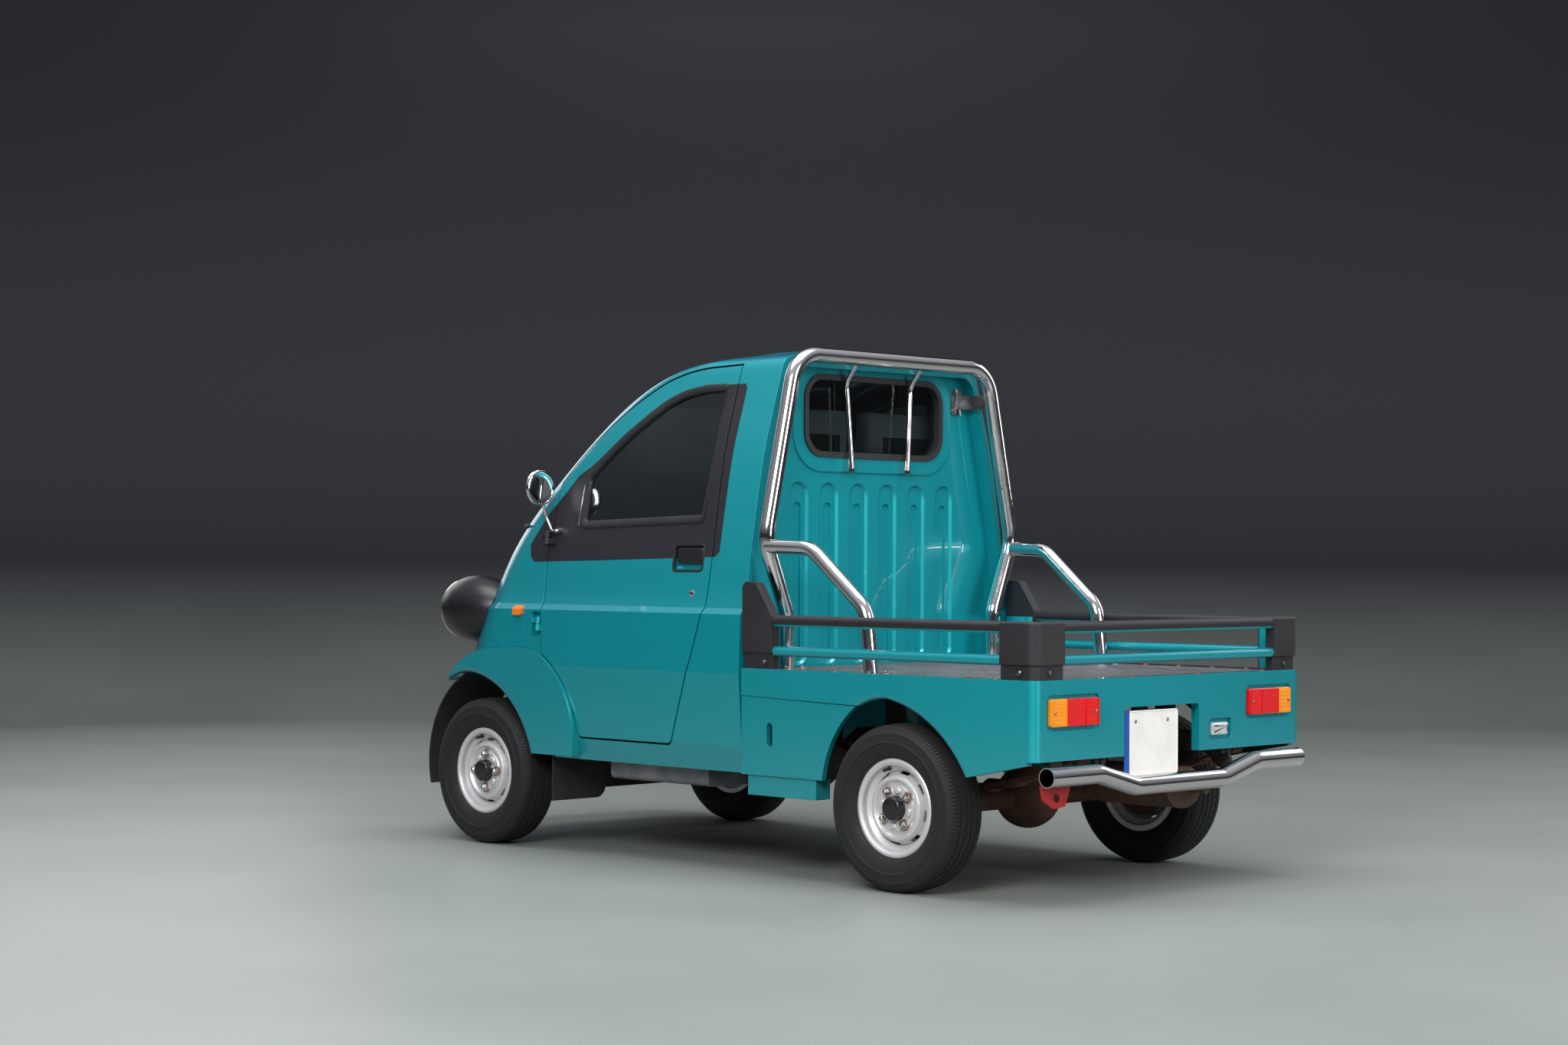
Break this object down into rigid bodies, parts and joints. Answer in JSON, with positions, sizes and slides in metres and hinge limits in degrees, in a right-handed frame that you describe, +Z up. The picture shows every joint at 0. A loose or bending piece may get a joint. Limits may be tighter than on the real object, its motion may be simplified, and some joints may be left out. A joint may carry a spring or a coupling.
{
  "type": "kei truck",
  "caption": "Small cab-over pickup truck with a teal cab, round headlamps in black bowls, an open flat bed with low rails and a chrome roll bar; wheels roll and steer, doors open.",
  "frame": {"origin": "on the ground under the middle of the truck's overall length, on its centre plane", "axes": "+X to the vehicle's left, +Y to its rear, +Z up; the front faces -Y"},
  "size_m": [1.408, 2.82, 1.5969],
  "materials": {
    "body_paint": "metallic teal paint",
    "chassis_paint": "satin black, rusty",
    "black_plastic": "matte",
    "deck_sheet": "worn",
    "tinted_glass": "clear",
    "gloss_black": "gloss",
    "cast_metal": "rough",
    "galvanised": "dull",
    "lamp_glass": "clear",
    "lamp_amber": "gloss",
    "rusty_steel": "rusty",
    "rubber": "matte",
    "white_plate": "gloss",
    "chrome_tube": "polished",
    "seat_fabric": "woven",
    "lamp_red": "gloss",
    "red_paint": "gloss",
    "tyre_rubber": "matte",
    "wheel_silver": "silver paint"
  },
  "bodies": {
    "chassis": {"bed_sides": "body_paint", "cab_floor": "body_paint", "cab_shell": "body_paint", "chassis_frame": "chassis_paint", "corner_posts": "black_plastic", "crossmembers": "chassis_paint", "dashboard": "black_plastic", "deck_bearers": "chassis_paint", "deck_floor": "deck_sheet", "engine": "cast_metal", "exhaust": "galvanised", "front_arms": "chassis_paint", "front_bumper": "body_paint", "front_struts": "chassis_paint", "front_wings": "body_paint", "fuel_tank": "chassis_paint", "headlamp_bowls": "gloss_black", "headlamp_lenses": "lamp_glass", "indicator_lamps": "lamp_amber", "interior_mirror": "gloss_black", "leaf_springs": "rusty_steel", "lower_rails": "body_paint", "mud_flaps": "rubber", "number_plate": "white_plate", "propshaft": "rusty_steel", "rear_axle": "rusty_steel", "rear_bumper": "chrome_tube", "rear_wall": "body_paint", "rear_window": "tinted_glass", "roll_bar": "chrome_tube", "seats": "seat_fabric", "side_covers": "body_paint", "side_hoops": "chrome_tube", "steering_column": "gloss_black", "step_boxes": "body_paint", "tail_lamps": "lamp_red", "tail_panel": "body_paint", "tow_hook": "red_paint", "upper_rails": "black_plastic", "wheel_liners": "black_plastic", "window_guards": "chrome_tube", "window_seals": "rubber", "windscreen": "tinted_glass"},
    "door_left": {"door_left": "body_paint", "door_glass_left": "tinted_glass", "door_mirror_left": "gloss_black"},
    "door_right": {"door_right": "body_paint", "door_glass_right": "tinted_glass", "door_mirror_right": "gloss_black"},
    "steering_wheel": {"steering_wheel": "gloss_black"},
    "knuckle_left": {"knuckle_left": "chassis_paint"},
    "knuckle_right": {"knuckle_right": "chassis_paint"},
    "wheel_front_left": {"wheel_front_left": "wheel_silver", "tyre_front_left": "tyre_rubber"},
    "wheel_front_right": {"wheel_front_right": "wheel_silver", "tyre_front_right": "tyre_rubber"},
    "wheel_rear_left": {"wheel_rear_left": "wheel_silver", "tyre_rear_left": "tyre_rubber"},
    "wheel_rear_right": {"wheel_rear_right": "wheel_silver", "tyre_rear_right": "tyre_rubber"}
  },
  "joints": [
    {"name": "steer_left", "type": "hinge", "parent": "chassis", "child": "knuckle_left", "pos_m": [0.455, -0.995, 0.24], "axis": [0, 0, 1], "range_deg": [-33, 33]},
    {"name": "steer_right", "type": "hinge", "parent": "chassis", "child": "knuckle_right", "pos_m": [-0.455, -0.995, 0.24], "axis": [0, 0, 1], "range_deg": [-33, 33]},
    {"name": "steering_wheel_turn", "type": "hinge", "parent": "chassis", "child": "steering_wheel", "pos_m": [-0.27, -0.5, 0.985], "axis": [0, 0.6, 0.8], "range_deg": [-429, 429]},
    {"name": "door_left_swing", "type": "hinge", "parent": "chassis", "child": "door_left", "pos_m": [0.63, -0.712, 0.732], "axis": [0.1345, 0, -0.9909], "range_deg": [0, 62]},
    {"name": "door_right_swing", "type": "hinge", "parent": "chassis", "child": "door_right", "pos_m": [-0.63, -0.712, 0.732], "axis": [0.1345, 0, 0.9909], "range_deg": [0, 62]},
    {"name": "wheel_front_left_spin", "type": "hinge", "parent": "knuckle_left", "child": "wheel_front_left", "pos_m": [0.568, -0.995, 0.24], "axis": [1, 0, 0], "continuous": true},
    {"name": "wheel_front_right_spin", "type": "hinge", "parent": "knuckle_right", "child": "wheel_front_right", "pos_m": [-0.568, -0.995, 0.24], "axis": [1, 0, 0], "continuous": true},
    {"name": "wheel_rear_left_spin", "type": "hinge", "parent": "chassis", "child": "wheel_rear_left", "pos_m": [0.568, 0.845, 0.24], "axis": [1, 0, 0], "continuous": true},
    {"name": "wheel_rear_right_spin", "type": "hinge", "parent": "chassis", "child": "wheel_rear_right", "pos_m": [-0.568, 0.845, 0.24], "axis": [1, 0, 0], "continuous": true}
  ],
  "couplings": [
    {"joint": "steer_right", "follows": "steer_left", "ratio": 1},
    {"joint": "steering_wheel_turn", "follows": "steer_left", "ratio": 13}
  ]
}
